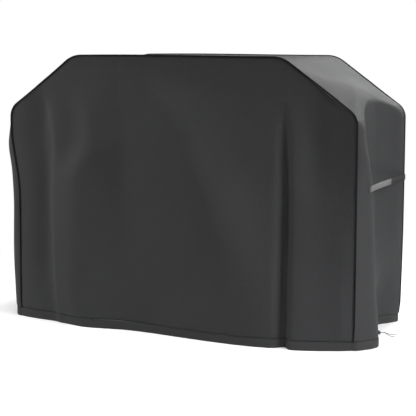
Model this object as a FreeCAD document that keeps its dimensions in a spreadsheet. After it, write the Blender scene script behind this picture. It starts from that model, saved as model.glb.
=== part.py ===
import FreeCAD, Part
import math
import os
import Sketcher

# Fitted cover for a cart grill, standing on its hem.
# +X runs along the front to the right, +Y to the back, +Z up. Millimetres.
# The origin is on the ground at the middle of the outline.

os.makedirs("parts", exist_ok=True)
doc = FreeCAD.newDocument("grill_cover")
Vec = FreeCAD.Vector

# ---------------------------------------------------------------- driving dimensions

DIMENSIONS = {
    "cover_width": 1650,
    "cover_depth": 640,
    "cover_top": 1194,
    "shoulder_level": 960,
    "top_width": 1000,
    "top_round": 130,
    "shoulder_round": 70,
    "cloth_gauge": 2,
    "roof_level": 920,
    "front_drape": 62,
    "ridge_swell": 63,
    "recess_sink": 77,
    "hem_height": 40,
    "hem_gauge": 5.6,
    "hem_skin": 1,
    "piping_bore": 2.5,
    "piping_gap": 1,
    "sewn_gap": 0.3,
    "tape_width": 12,
    "tape_gauge": 1,
    "tape_inset": 4,
    "cord_size": 2.5,
    "cord_spacing": 3.4,
    "cord_level": 12,
    "cord_bend": 3,
    "cord_straight": 32,
    "eyelet_bore": 4.2,
    "eyelet_wall": 0.4,
    "eyelet_flange": 8,
    "eyelet_gauge": 0.5,
    "washer_gauge": 0.3,
    "lock_reach": 18,
    "lock_outer": 6,
    "lock_bore": 4.3,
    "lock_length": 20,
    "lock_behind": 12,
    "lock_floor": 1.5,
    "plunger_gap": 0.05,
    "plunger_travel": 3,
    "button_height": 3,
    "button_radius": 5.6,
    "button_gap": 0.2,
    "slot_height": 3.4,
    "slot_width": 6.2,
    "spring_room": 6,
    "spring_wire": 0.8,
    "spring_turns": 3,
    "spring_radius": 3.5,
    "strap_width": 25,
    "strap_gauge": 1.5,
    "strap_level": 670,
    "strap_front": 200,
    "strap_front_reach": 847,
    "strap_back_reach": 836,
    "tongue_length": 287,
    "anchor_length": 28,
    "receiver_start": 205,
    "receiver_reach": 528,
    "receiver_leg": 55,
    "pile_gauge": 1.2,
    "pile_start": 217,
    "pile_length": 66,
    "pile_width": 22,
    "body_gap": 0.3,
}

sheet = doc.addObject("Spreadsheet::Sheet", "Dimensions")
for row, (name, value) in enumerate(DIMENSIONS.items(), start=1):
    sheet.set(f"A{row}", name)
    sheet.set(f"B{row}", str(value))
    sheet.setAlias(f"B{row}", name)
doc.recompute()


def dim(name):
    """Value of one cell of the sheet."""
    return float(getattr(sheet, name))


# ---------------------------------------------------------------- helpers

def bind(obj, **formulas):
    """Bind properties of a feature to the sheet; each formula names its cells in braces."""
    for prop, formula in formulas.items():
        obj.setExpression(prop, formula.replace("{", "Dimensions.").replace("}", ""))


def solid_feature(label, shape, placement=None):
    """Cloth or cord piece whose shape is worked out in code."""
    obj = doc.addObject("Part::Feature", label)
    obj.Label = label
    obj.Shape = shape
    if placement:
        obj.Placement = placement
    return obj


def rounded_path(points, tangents, closed=False):
    """Straight runs joined by arcs that start the given length before each point."""
    count = len(points)
    corners = range(count) if closed else range(1, count - 1)
    starts, ends, arcs = {}, {}, {}
    for i in corners:
        before = (points[i - 1] - points[i]).normalize()
        after = (points[(i + 1) % count] - points[i]).normalize()
        half_turn = (math.pi - before.getAngle(after)) / 2
        radius = tangents[i] / math.tan(half_turn)
        inward = (before + after).normalize()
        middle = points[i] + inward * (radius / math.cos(half_turn) - radius)
        starts[i] = points[i] + before * tangents[i]
        ends[i] = points[i] + after * tangents[i]
        arcs[i] = Part.Arc(starts[i], middle, ends[i]).toShape()
    edges = []
    for i in range(count if closed else count - 1):
        j = (i + 1) % count
        run_start = ends.get(i, points[i])
        run_end = starts.get(j, points[j])
        edges.append(Part.LineSegment(run_start, run_end).toShape())
        if j in arcs:
            edges.append(arcs[j])
    return Part.Wire(edges)


def shorter_runs(points, share, closed=False):
    """Share of the shorter of the two runs at each point."""
    count = len(points)
    runs = [(points[(i + 1) % count] - points[i]).Length for i in range(count)]
    return [share * min(runs[i - 1], runs[i]) for i in range(count)]


def tube(path, radius):
    """Round cord along a path, and its volume compared with section times length."""
    start = path.Edges[0].valueAt(path.Edges[0].FirstParameter)
    heading = path.Edges[0].tangentAt(path.Edges[0].FirstParameter)
    ring = Part.Wire(Part.makeCircle(radius, start, heading))
    shape = path.makePipeShell([ring], True, False)
    ratio = shape.Volume / (math.pi * radius ** 2 * path.Length)
    print(f"cord of {path.Length:.0f} mm, volume over section times length {ratio:.4f}")
    return shape


# ---------------------------------------------------------------- drape of the cloth

half_width = dim("cover_width") / 2
half_depth = dim("cover_depth") / 2
gauge = dim("cloth_gauge")
roof_level = dim("roof_level")
shoulder_level = dim("shoulder_level")
hem_height = dim("hem_height")

# Folds of the front at the hem: middle, half width and depth as a share of front_drape.
FRONT_FOLDS = [(-450, 110, 0.73), (290, 170, 0.97), (590, 50, 0.32), (530, 20, -0.38)]
BROAD_SHARE = 0.55
RIDGE_MIDDLE, RIDGE_SPREAD = -193, 70
RECESS_MIDDLE, RECESS_SPREAD = 170, 90

# Powers that set how late the drape dies out at the seams, and how early it does toward the top.
FRONT_EDGE_POWER, SIDE_EDGE_POWER = 10, 6
RIDGE_RISE_POWER, RECESS_RISE_POWER = 1.3, 1.5


def bump(position, middle, spread):
    return math.exp(-((position - middle) / spread) ** 2 / 2)


def front_drape(x, level):
    """How far the front hangs proud of its seam plane."""
    edge = 1 - (abs(x) / half_width) ** FRONT_EDGE_POWER
    folds = BROAD_SHARE + sum(share * bump(x, mid, half) for mid, half, share in FRONT_FOLDS)
    rise = min(1, level / shoulder_level)
    hang = 1 - rise * rise * (3 - 2 * rise)
    return dim("front_drape") * edge * folds * hang


def side_drape(y, level):
    """How far a side wall stands out at its front ridge, or sinks in behind it."""
    edge = 1 - min(1, abs(y) / half_depth) ** SIDE_EDGE_POWER
    rise = min(1, level / roof_level)
    ridge = dim("ridge_swell") * bump(y, RIDGE_MIDDLE, RIDGE_SPREAD)
    recess = dim("recess_sink") * bump(y, RECESS_MIDDLE, RECESS_SPREAD)
    return edge * (ridge * (1 - rise ** RIDGE_RISE_POWER) - recess * (1 - rise) ** RECESS_RISE_POWER)


def draped_sheet(across, levels, place, push):
    """Cloth of even thickness through a net of points."""
    net = [[place(a, level) for level in levels] for a in across]
    surface = Part.BSplineSurface()
    surface.interpolate(net)
    return surface.toShape().extrude(push)


def spaced(low, high, count):
    return [low + (high - low) * i / (count - 1) for i in range(count)]


# ---------------------------------------------------------------- end profile of the cover

def profile_wire(grow, foot):
    """Front outline of the cover, grown outward, from one foot round to the other."""
    half_top = dim("top_width") / 2
    slope = math.atan2(dim("cover_top") - shoulder_level, half_width - half_top)
    points = [
        Vec(-half_width, 0, foot),
        Vec(-half_width, 0, shoulder_level),
        Vec(-half_top, 0, dim("cover_top")),
        Vec(half_top, 0, dim("cover_top")),
        Vec(half_width, 0, shoulder_level),
        Vec(half_width, 0, foot),
    ]
    low_corner = dim("shoulder_round") * math.tan((math.pi / 2 - slope) / 2)
    top_corner = dim("top_round") * math.tan(slope / 2)
    wire = rounded_path(points, [0, low_corner, top_corner, top_corner, low_corner, 0])
    if grow == 0:
        return wire
    return wire.makeOffset2D(grow, 0, False, True)


def profile_face(outer_grow, inner_grow, foot):
    """Band between two grown outlines, cut off level at the foot."""
    def filled(grow):
        wire = profile_wire(grow, foot - 20)
        first, last = wire.OrderedVertexes[0].Point, wire.OrderedVertexes[-1].Point
        return Part.Face(Part.Wire(wire.OrderedEdges + [Part.LineSegment(last, first).toShape()]))
    reach = dim("cover_width")
    below = Part.makePlane(2 * reach, reach, Vec(-reach, 0, foot), Vec(0, -1, 0))
    band = filled(outer_grow)
    if inner_grow is not None:
        band = band.cut(filled(inner_grow))
    return band.cut(Part.makeBox(2 * reach, 2, reach, Vec(-reach, -1, foot - reach)))


# ---------------------------------------------------------------- panels

def end_panel(label, side):
    """Front (side -1) or back (side 1) panel, seamed to the strip all along its edge."""
    across = spaced(-half_width - 5, half_width + 5, 65)
    levels = spaced(hem_height, dim("cover_top") + 5, 25)

    def place(x, level):
        return Vec(x, side * (half_depth + front_drape(-side * x, level)), level)

    cloth = draped_sheet(across, levels, place, Vec(0, -side * gauge, 0))
    reach = half_depth + 2 * dim("front_drape")
    outline = profile_face(0, None, hem_height).extrude(Vec(0, side * reach, 0))
    return solid_feature(label, cloth.common(outline))


def side_top_strip():
    """One strip up the left side, over both shoulders and the top, and down the right."""
    length = 2 * (half_depth - gauge - dim("sewn_gap"))
    roof = profile_face(0, -gauge, roof_level).extrude(Vec(0, length, 0))
    roof.translate(Vec(0, -length / 2, 0))
    across = spaced(-length / 2, length / 2, 27)
    levels = spaced(hem_height, roof_level, 9)
    walls = []
    for side in (-1, 1):
        def place(y, level):
            return Vec(side * (half_width + side_drape(y, level)), y, level)
        walls.append(draped_sheet(across, levels, place, Vec(-side * gauge, 0, 0)))
    return solid_feature("side_top_strip", roof.fuse(walls))


end_panel("front_panel", -1)
end_panel("back_panel", 1)
side_top_strip()

# ---------------------------------------------------------------- seams

def piping(label, side):
    """Round piping in the seam, just outside the corner of panel and strip."""
    radius = dim("piping_bore")
    path = profile_wire(radius + dim("piping_gap"), hem_height)
    path.translate(Vec(0, side * (half_depth - gauge / 2), 0))
    return solid_feature(label, tube(path, radius))


def seam_tape(label, side):
    """Binding tape over the seam allowance, on the inside of the panel."""
    inset = dim("cloth_gauge") + dim("tape_inset")
    band = profile_face(-inset, -inset - dim("tape_width"), hem_height)
    tape = band.extrude(Vec(0, -side * dim("tape_gauge"), 0))
    tape.translate(Vec(0, side * (half_depth - gauge - dim("sewn_gap")), 0))
    return solid_feature(label, tape)


for end, side in (("front", -1), ("back", 1)):
    piping(end + "_piping", side)
    seam_tape(end + "_seam_tape", side)

# ---------------------------------------------------------------- hem

FRONT_STATIONS = [-740, -640, -540, -450, -350, -230, -110, 20, 150, 290, 400, 490, 530, 575, 665, 750]
SIDE_STATIONS = [-262, -193, -120, -41, 69, 130, 195, 262]
CORD_RUN = (SIDE_STATIONS.index(-41), SIDE_STATIONS.index(69))
HEM_ROUND_SHARE = 0.3


def hem_points():
    """Plan of the hem, counter-clockwise from the front left corner."""
    front = [Vec(x, -half_depth - front_drape(x, 0), 0) for x in FRONT_STATIONS]
    right = [Vec(half_width + side_drape(y, 0), y, 0) for y in SIDE_STATIONS]
    back = [Vec(-p.x, -p.y, 0) for p in front]
    left = [Vec(-p.x, p.y, 0) for p in reversed(right)]
    return (
        [Vec(-half_width, -half_depth, 0)] + front
        + [Vec(half_width, -half_depth, 0)] + right
        + [Vec(half_width, half_depth, 0)] + back
        + [Vec(-half_width, half_depth, 0)] + left
    )


outline_points = hem_points()
hem_outline = rounded_path(
    outline_points, shorter_runs(outline_points, HEM_ROUND_SHARE, closed=True), closed=True
)

# The cord leaves the hem square to this straight run of the right side.
right_points = [Vec(half_width + side_drape(y, 0), y, 0) for y in SIDE_STATIONS]
run_low, run_high = (right_points[i] for i in CORD_RUN)
cord_origin = (run_low + run_high) / 2
along = (run_high - run_low).normalize()
cord_turn = math.degrees(math.atan2(along.y, along.x)) - 90
cord_frame = FreeCAD.Placement(cord_origin, FreeCAD.Rotation(Vec(0, 0, 1), cord_turn))


def hem_ring(outer, inner, low, high):
    """Upright ring between two insets of the hem outline."""
    def filled(inset):
        wire = hem_outline if inset == 0 else hem_outline.makeOffset2D(-inset)
        return Part.Face(wire)
    ring = filled(outer).cut(filled(inner)).extrude(Vec(0, 0, high - low))
    ring.translate(Vec(0, 0, low))
    return ring


def hem_band():
    """Folded hem with its cord tunnel, and the hole for the eyelet."""
    skin = dim("hem_skin")
    band = hem_ring(0, dim("hem_gauge"), 0, hem_height)
    tunnel = hem_ring(skin, dim("hem_gauge") - skin, skin, hem_height - skin)
    hole_radius = dim("eyelet_bore") + dim("eyelet_wall") + dim("plunger_gap")
    hole = Part.makeCylinder(hole_radius, 2 * skin, Vec(-1.5 * skin, 0, dim("cord_level")), Vec(1, 0, 0))
    hole.Placement = cord_frame.multiply(hole.Placement)
    return solid_feature("hem_band", band.cut(tunnel).cut(hole))


hem_band()

# ---------------------------------------------------------------- drawstring

cord_radius = dim("cord_size") / 2
tunnel_depth = dim("hem_gauge") / 2


def drawstring():
    """Cord round the whole tunnel, both ends out through the eyelet and the cord lock."""
    level = dim("cord_level")
    middle = hem_outline.makeOffset2D(-tunnel_depth)
    centre = cord_frame.multVec(Vec(-tunnel_depth, 0, 0))
    bridge = min(middle.Edges, key=lambda e: (e.CenterOfMass - centre).Length)
    edges = [e for e in middle.Edges if not e.isSame(bridge)]
    bend = dim("cord_bend")
    for side in (-1, 1):
        lane = side * dim("cord_spacing") / 2
        far = max(bridge.Vertexes, key=lambda v: side * (v.Point - centre).dot(along)).Point
        turn_start = cord_frame.multVec(Vec(-tunnel_depth, lane + side * bend, 0))
        slant = bend * (1 - math.sqrt(0.5))
        turn_middle = cord_frame.multVec(Vec(slant - tunnel_depth, lane + side * slant, 0))
        turn_end = cord_frame.multVec(Vec(bend - tunnel_depth, lane, 0))
        last = cord_frame.multVec(Vec(dim("cord_straight"), lane, 0))
        edges.append(Part.LineSegment(far, turn_start).toShape())
        edges.append(Part.Arc(turn_start, turn_middle, turn_end).toShape())
        edges.append(Part.LineSegment(turn_end, last).toShape())
    path = Part.Wire(Part.__sortEdges__(edges))
    path.translate(Vec(0, 0, level))
    return solid_feature("hem_drawstring", tube(path, cord_radius))


# Free ends, in the cord frame: out from the hem, along the hem, up from the ground.
CORD_ENDS = {
    "drawstring_end_back": [
        (32, 1.7, 12), (43, 1.7, 12), (59, 3.2, 4.6), (75, 6, 1.6), (90, 4.5, 1.5), (101, 0.5, 1.5),
    ],
    "drawstring_end_front": [
        (32, -1.7, 12), (42, -1.7, 12), (54, -8, 5.2), (63, -19, 1.7), (74, -31, 1.5), (85, -38, 1.5),
    ],
}
CORD_SHARE = 0.45


def drawstring_end(label, route):
    """Limp free end of the drawstring, drooping to the ground."""
    points = [cord_frame.multVec(Vec(*p)) for p in route]
    tangents = shorter_runs(points, CORD_SHARE)
    for i in range(1, len(points) - 1):
        before = points[i] - points[i - 1]
        turn = before.getAngle(points[i + 1] - points[i])
        print(f"{label} radius {tangents[i] / math.tan(turn / 2):.0f}")
    return solid_feature(label, tube(rounded_path(points, tangents), cord_radius))


drawstring()
for label, route in CORD_ENDS.items():
    drawstring_end(label, route)

# ---------------------------------------------------------------- helpers for the small hardware

def make_body(label):
    body = doc.addObject("PartDesign::Body", label)
    body.Label = label
    return body


def base_sketch(body, role):
    """Sketch on one of the body's own origin planes."""
    plane = next(f for f in body.Origin.OriginFeatures if f.Role == role)
    sketch = body.newObject("Sketcher::SketchObject", body.Label + "_sketch")
    sketch.AttachmentSupport = [(plane, "")]
    sketch.MapMode = "FlatFace"
    return sketch


def closed_polygon(sketch, corners):
    """Closed outline whose corners are bound to the sheet, as pairs of formulas."""
    count = len(corners)
    values = [(formula_value(x), formula_value(y)) for x, y in corners]
    for i in range(count):
        start, end = values[i], values[(i + 1) % count]
        sketch.addGeometry(Part.LineSegment(Vec(*start, 0), Vec(*end, 0)))
    for i in range(count):
        sketch.addConstraint(Sketcher.Constraint("Coincident", i, 2, (i + 1) % count, 1))
    for i, (corner, value) in enumerate(zip(corners, values)):
        for kind, formula, length in zip(("DistanceX", "DistanceY"), corner, value):
            if length == 0:
                axis = -2 if kind == "DistanceX" else -1
                sketch.addConstraint(Sketcher.Constraint("PointOnObject", i, 1, axis))
                continue
            name = f"{kind}{i}"
            low_high = (-1, 1, i, 1) if length > 0 else (i, 1, -1, 1)
            index = sketch.addConstraint(Sketcher.Constraint(kind, *low_high, abs(length)))
            sketch.renameConstraint(index, name)
            sign = "" if length > 0 else "-1 * "
            bind(sketch, **{f"Constraints.{name}": f"{sign}({formula})"})


def formula_value(formula):
    """Value of a formula, read through a scratch cell of the sheet."""
    sheet.set("D1", "=" + formula.replace("{", "").replace("}", ""))
    doc.recompute()
    value = float(sheet.D1)
    sheet.clear("D1")
    return value


def cut_away(label, base, *tools):
    """Base with each tool cut out of it in turn."""
    for i, tool in enumerate(tools):
        cut = doc.addObject("Part::Cut", f"{label}_{i}")
        cut.Base = base
        cut.Tool = tool
        base = cut
    base.Label = label
    return base


def round_bar(name, radius, length, position, axis=Vec(0, 1, 0)):
    """Cylinder bound to the sheet, starting at a position and running along an axis."""
    bar = doc.addObject("Part::Cylinder", name)
    bind(bar, Radius=radius, Height=length)
    bar.Placement = FreeCAD.Placement(position, FreeCAD.Rotation(Vec(0, 0, 1), axis))
    return bar


def block(name, length, width, height, position):
    """Box bound to the sheet, with its low corner at a position."""
    box = doc.addObject("Part::Box", name)
    bind(box, Length=length, Width=width, Height=height)
    box.Placement.Base = position
    return box


# ---------------------------------------------------------------- eyelet

def eyelet():
    """Barrel through the outer skin of the hem, with its flange outside."""
    body = make_body("eyelet")
    sketch = base_sketch(body, "XY_Plane")
    inner, outer = "{eyelet_bore}", "{eyelet_bore} + {eyelet_wall}"
    start = "-{hem_skin} - {washer_gauge}"
    closed_polygon(sketch, [
        (start, inner), ("{eyelet_gauge}", inner), ("{eyelet_gauge}", "{eyelet_flange}"),
        ("0", "{eyelet_flange}"), ("0", outer), (start, outer),
    ])
    turned = body.newObject("PartDesign::Revolution", "eyelet_turned")
    turned.Profile = sketch
    turned.ReferenceAxis = (sketch, ["H_Axis"])
    turned.Angle = 360
    body.Placement = cord_frame.multiply(FreeCAD.Placement(Vec(0, 0, dim("cord_level")), FreeCAD.Rotation()))


def eyelet_washer():
    """Ring clenched behind the outer skin, inside the tunnel."""
    start = Vec(-dim("hem_skin") - dim("washer_gauge"), 0, dim("cord_level"))
    disc = round_bar("washer_disc", "{eyelet_flange}", "{washer_gauge}", start, Vec(1, 0, 0))
    hole_radius = "{eyelet_bore} + {eyelet_wall} + {plunger_gap}"
    hole = round_bar("washer_hole", hole_radius, "{washer_gauge}", start, Vec(1, 0, 0))
    cut_away("eyelet_washer", disc, hole).Placement = cord_frame


eyelet()
eyelet_washer()

# ---------------------------------------------------------------- cord lock

lock_x, lock_z = dim("lock_reach"), dim("cord_level")
lock_back = -dim("lock_behind")
bore_floor = lock_back + dim("lock_floor")
plunger_foot = bore_floor + dim("spring_room")


def cord_slot(name, low_y, width):
    """Slot that both strands pass through."""
    corner = Vec(lock_x - 2 * dim("lock_outer"), low_y, lock_z - dim("slot_height") / 2)
    return block(name, "4 * {lock_outer}", width, "{slot_height}", corner)


def cord_lock_body():
    outer = round_bar("lock_outer_wall", "{lock_outer}", "{lock_length}", Vec(lock_x, lock_back, lock_z))
    bore = round_bar(
        "lock_bore_space", "{lock_bore}", "{lock_length} - {lock_floor}", Vec(lock_x, bore_floor, lock_z)
    )
    slot = cord_slot("lock_slot", -dim("slot_width") / 2, "{slot_width}")
    cut_away("cord_lock_body", outer, bore, slot).Placement = cord_frame


def cord_lock_plunger():
    """Button and stem; its slot leaves the strands free while it is pressed."""
    stem_length = "{lock_length} + {plunger_travel} + {button_gap} - {lock_floor} - {spring_room}"
    stem_radius = "{lock_bore} - {plunger_gap}"
    stem = round_bar("plunger_stem", stem_radius, stem_length, Vec(lock_x, plunger_foot, lock_z))
    stem_end = plunger_foot + formula_value(stem_length)
    button = round_bar(
        "plunger_button", "{button_radius}", "{button_height}", Vec(lock_x, stem_end, lock_z)
    )
    joined = doc.addObject("Part::Fuse", "plunger_joined")
    joined.Base, joined.Tool = stem, button
    slot = cord_slot("plunger_slot", -dim("slot_width") / 2, "{slot_width} + {plunger_travel}")
    cut_away("cord_lock_plunger", joined, slot).Placement = cord_frame


def cord_lock_spring():
    """Compression spring behind the plunger."""
    height = "{spring_room} - 2 * {spring_wire}"
    helix = doc.addObject("Part::Helix", "spring_line")
    bind(helix, Radius="{spring_radius}", Height=height, Pitch=f"({height}) / {{spring_turns}}")
    helix.SegmentLength = 1
    section = doc.addObject("Part::Circle", "spring_section")
    bind(section, Radius="{spring_wire} / 2")
    section.Placement = FreeCAD.Placement(
        Vec(dim("spring_radius"), 0, 0), FreeCAD.Rotation(Vec(1, 0, 0), 90)
    )
    spring = doc.addObject("Part::Sweep", "spring")
    spring.Sections = [section]
    spring.Spine = helix
    spring.Solid = True
    spring.Frenet = True
    spring.Label = "cord_lock_spring"
    seat = Vec(lock_x, bore_floor + dim("spring_wire"), lock_z)
    spring.Placement = cord_frame.multiply(
        FreeCAD.Placement(seat, FreeCAD.Rotation(Vec(0, 0, 1), Vec(0, 1, 0)))
    )


cord_lock_body()
cord_lock_plunger()
cord_lock_spring()

# ---------------------------------------------------------------- side cinch straps

# A strap's frame: +X out from the side, +Y back along the strap, its middle at half height.
strap_lean = dim("strap_front_reach") - dim("strap_back_reach")
strap_slant = math.degrees(math.atan2(strap_lean, half_depth + dim("strap_front")))


def strap_frame(side):
    start = Vec(side * dim("strap_front_reach"), -dim("strap_front"), dim("strap_level"))
    return FreeCAD.Placement(start, FreeCAD.Rotation(Vec(0, 0, 1), side * strap_slant))


def webbing(label, side, inner_x, thickness, start_y, length, width="{strap_width}"):
    """Straight flat piece of a strap, lying from inner_x outward."""
    inner, deep, tall = (formula_value(f) for f in (inner_x, thickness, width))
    low_x = inner if side > 0 else -inner - deep
    bar = block(label, thickness, length, width, Vec())
    bar.Label = label
    corner = FreeCAD.Placement(Vec(low_x, formula_value(start_y), -tall / 2), FreeCAD.Rotation())
    bar.Placement = strap_frame(side).multiply(corner)


def strap_receiver(label, side):
    """Webbing from under the tongue to the back corner, and round it onto the back."""
    body = make_body(label)
    sketch = base_sketch(body, "XY_Plane")
    outward = "-1" if side > 0 else "1"
    outer = "{body_gap} + 2 * {pile_gauge}"
    inner = outer + " + {strap_gauge}"
    leg = inner + " + {receiver_leg}"
    reach, far = "{receiver_reach}", "{receiver_reach} + {strap_gauge}"
    corners = [
        (outer, "{receiver_start}"), (outer, far), (leg, far),
        (leg, reach), (inner, reach), (inner, "{receiver_start}"),
    ]
    closed_polygon(sketch, [(f"{outward} * ({x})", y) for x, y in corners])
    pad = body.newObject("PartDesign::Pad", label + "_pad")
    pad.Profile = sketch
    bind(pad, Length="{strap_width}")
    drop = FreeCAD.Placement(Vec(0, 0, -dim("strap_width") / 2), FreeCAD.Rotation())
    body.Placement = strap_frame(side).multiply(drop)


for name, side in (("right", 1), ("left", -1)):
    webbing(name + "_strap_anchor", side, "0", "{strap_gauge}", "-{anchor_length}", "{anchor_length}")
    webbing(name + "_strap_tongue", side, "0", "{strap_gauge}", "{body_gap}", "{tongue_length}")
    webbing(name + "_hook_tape", side, "-{pile_gauge}", "{pile_gauge}", "{pile_start}", "{pile_length}",
            "{pile_width}")
    webbing(name + "_loop_tape", side, "-{body_gap} - 2 * {pile_gauge}", "{pile_gauge}",
            "{pile_start}", "{pile_length}", "{pile_width}")
    strap_receiver(name + "_strap_receiver", side)

# ---------------------------------------------------------------- checks and export

NODES = [
    "front_panel", "back_panel", "side_top_strip",
    "front_piping", "back_piping", "front_seam_tape", "back_seam_tape",
    "hem_band", "hem_drawstring", *CORD_ENDS,
    "eyelet", "eyelet_washer", "cord_lock_body", "cord_lock_plunger", "cord_lock_spring",
]
for name in ("right", "left"):
    for piece in ("strap_anchor", "strap_tongue", "strap_receiver", "hook_tape", "loop_tape"):
        NODES.append(f"{name}_{piece}")

doc.recompute()
for obj in doc.Objects:
    if "Invalid" in obj.State or "Error" in obj.State:
        raise RuntimeError(f"{obj.Label} failed: {obj.State}")

shapes = {}
for node in NODES:
    found = doc.getObjectsByLabel(node)
    if len(found) != 1:
        raise RuntimeError(f"{len(found)} objects are labelled {node}")
    shape = found[0].Shape
    if shape.isNull() or not shape.isValid() or shape.Volume <= 0:
        raise RuntimeError(f"{node} has no valid solid")
    shapes[node] = shape

for node, shape in shapes.items():
    shape.exportStep(f"parts/{node}.step")
print(f"{len(shapes)} parts written")
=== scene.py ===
import bpy
import math
import numpy as np
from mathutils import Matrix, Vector, noise


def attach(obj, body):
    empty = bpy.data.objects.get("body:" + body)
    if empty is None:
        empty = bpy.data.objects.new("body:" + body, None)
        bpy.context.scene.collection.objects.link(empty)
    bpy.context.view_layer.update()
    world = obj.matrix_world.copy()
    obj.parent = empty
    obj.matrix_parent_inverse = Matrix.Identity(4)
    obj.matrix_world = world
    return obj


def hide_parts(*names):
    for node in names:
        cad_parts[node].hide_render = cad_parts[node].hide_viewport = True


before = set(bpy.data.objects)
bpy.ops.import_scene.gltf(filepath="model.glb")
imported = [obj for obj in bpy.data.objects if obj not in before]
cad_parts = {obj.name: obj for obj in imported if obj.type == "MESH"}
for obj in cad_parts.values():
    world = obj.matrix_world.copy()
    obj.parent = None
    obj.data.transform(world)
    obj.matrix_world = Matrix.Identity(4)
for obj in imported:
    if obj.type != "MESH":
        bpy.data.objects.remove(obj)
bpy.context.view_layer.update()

# Metres. +X runs along the front to the right, +Y to the back, +Z up, with the ground at 0.

# ---------------------------------------------------------------- camera

camera = bpy.data.objects.new("camera", bpy.data.cameras.new("camera"))
camera.location = (2.4508, -5.0549, 1.2499)
camera.rotation_euler = Vector((-0.43119, 0.89276, -0.13062)).to_track_quat("-Z", "Y").to_euler()
camera.data.lens = 107.9
camera.data.sensor_width = 36
bpy.context.scene.collection.objects.link(camera)
bpy.context.scene.camera = camera

# ---------------------------------------------------------------- drawstring

# The cord leaves the hem square to a straight run of it: out, along the hem, up.
CORD_EXIT, CORD_HEIGHT = 0.014, 0.012
CORD_ORIGIN = Vector((0.805035, CORD_EXIT, 0))
CORD_OUT = Vector((0.934239, 0.356648, 0))
CORD_ALONG = Vector((-0.356648, 0.934239, 0))
CORD_SIZE = 0.0025
# Through the lock each strand keeps this far from the middle; past its far face both lie free.
CORD_LANE, CORD_FREE = 0.0017, 0.032
# That straight run of the hem against the side's outline: how far inside it, and its slant.
RUN_INSET, RUN_SLANT = 0.019965, 0.38174

CORD_ENDS = {
    "drawstring_end_back": [
        (CORD_FREE, CORD_LANE, CORD_HEIGHT), (0.043, CORD_LANE, CORD_HEIGHT), (0.059, 0.0032, 0.0046),
        (0.075, 0.006, 0.0016), (0.090, 0.0045, 0.0015), (0.101, 0.0005, 0.0015),
    ],
    "drawstring_end_front": [
        (CORD_FREE, -CORD_LANE, CORD_HEIGHT), (0.042, -CORD_LANE, CORD_HEIGHT), (0.054, -0.008, 0.0052),
        (0.063, -0.019, 0.0017), (0.074, -0.031, 0.0015), (0.085, -0.038, 0.0015),
    ],
}


def cord_place(out, along, up):
    """Point beside the cord's exit."""
    return CORD_ORIGIN + CORD_OUT * out + CORD_ALONG * along + Vector((0, 0, up))


def cord_curve(name, points):
    """Round cord on one smooth line."""
    curve = bpy.data.curves.new(name, "CURVE")
    curve.dimensions = "3D"
    curve.bevel_depth = CORD_SIZE / 2
    curve.bevel_resolution = 4
    curve.resolution_u = 12
    curve.use_fill_caps = True
    spline = curve.splines.new("NURBS")
    spline.points.add(len(points) - 1)
    for point, place in zip(spline.points, points):
        point.co = (*place, 1)
    spline.order_u = 3
    spline.use_endpoint_u = True
    cord = bpy.data.objects.new(name, curve)
    bpy.context.scene.collection.objects.link(cord)
    return cord


# ---------------------------------------------------------------- smooth shapes

HALF_WIDTH, HALF_DEPTH = 0.825, 0.320
SHOULDER, TOP, HALF_TOP = 0.960, 1.194, 0.500
SHOULDER_ROUND, TOP_ROUND = 0.070, 0.130
HEM_HEIGHT, HEM_GAUGE = 0.040, 0.0056
CLOTH = 0.0012
SLOPE = math.atan2(TOP - SHOULDER, HALF_WIDTH - HALF_TOP)

STRAP_LEVEL = 0.670

# Spacing of the cloth's rows, the columns of a panel and of the strip, and the strip's gap to each panel.
ROW_STEP = 0.0075
PANEL_COLUMNS, STRIP_COLUMNS = 225, 81
SEAM_GAP = 0.0006


def eased(position, knots):
    """Smooth curve through (position, value) pairs."""
    xs, ys = (np.array(v, float) for v in zip(*knots))
    slopes = np.gradient(ys, xs)
    p = np.clip(position, xs[0], xs[-1])
    i = np.clip(np.searchsorted(xs, p, side="right") - 1, 0, len(xs) - 2)
    step = xs[i + 1] - xs[i]
    t = (p - xs[i]) / step
    return (
        ys[i] * (1 + 2 * t) * (1 - t) ** 2 + slopes[i] * step * t * (1 - t) ** 2
        + ys[i + 1] * t * t * (3 - 2 * t) + slopes[i + 1] * step * t * t * (t - 1)
    )


def bump(position, middle, before, after=None):
    """Rounded crest with its own spread on each side."""
    spread = np.where(position < middle, before, before if after is None else after)
    return np.exp(-((position - middle) / spread) ** 2 / 2)


def ramp(position, start, end):
    """From 0 at start to 1 at end, level at both."""
    t = np.clip((position - start) / (end - start), 0, 1)
    return t * t * (3 - 2 * t)


def wrinkle(points, scale, seed):
    """Even noise at a scale in metres."""
    shift = Vector((seed * 7.31, seed * 3.17, seed * 5.53))
    return np.array([noise.noise(Vector(p) / scale + shift) for p in points.reshape(-1, 3)])


# ---------------------------------------------------------------- end profile of the cover

def half_outline(step):
    """Right half of the front outline from the ground to the top's middle: (x, z, normal x, normal z)."""
    low_tangent = SHOULDER_ROUND * math.tan((math.pi / 2 - SLOPE) / 2)
    top_tangent = TOP_ROUND * math.tan(SLOPE / 2)
    slope_length = (TOP - SHOULDER) / math.sin(SLOPE) - low_tangent - top_tangent
    pieces = [
        (SHOULDER - low_tangent, 0), (SHOULDER_ROUND * (math.pi / 2 - SLOPE), 1 / SHOULDER_ROUND),
        (slope_length, 0), (TOP_ROUND * SLOPE, 1 / TOP_ROUND), (HALF_TOP - top_tangent, 0),
    ]
    x, z, heading, rows = HALF_WIDTH, 0.0, math.pi / 2, []
    for length, bend in pieces:
        count = max(4, round(length / step))
        for _ in range(count):
            rows.append((x, z, math.sin(heading), -math.cos(heading)))
            heading += bend * length / count / 2
            x += math.cos(heading) * length / count
            z += math.sin(heading) * length / count
            heading += bend * length / count / 2
    rows.append((0.0, TOP, 0.0, 1.0))
    return np.array(rows)


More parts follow.
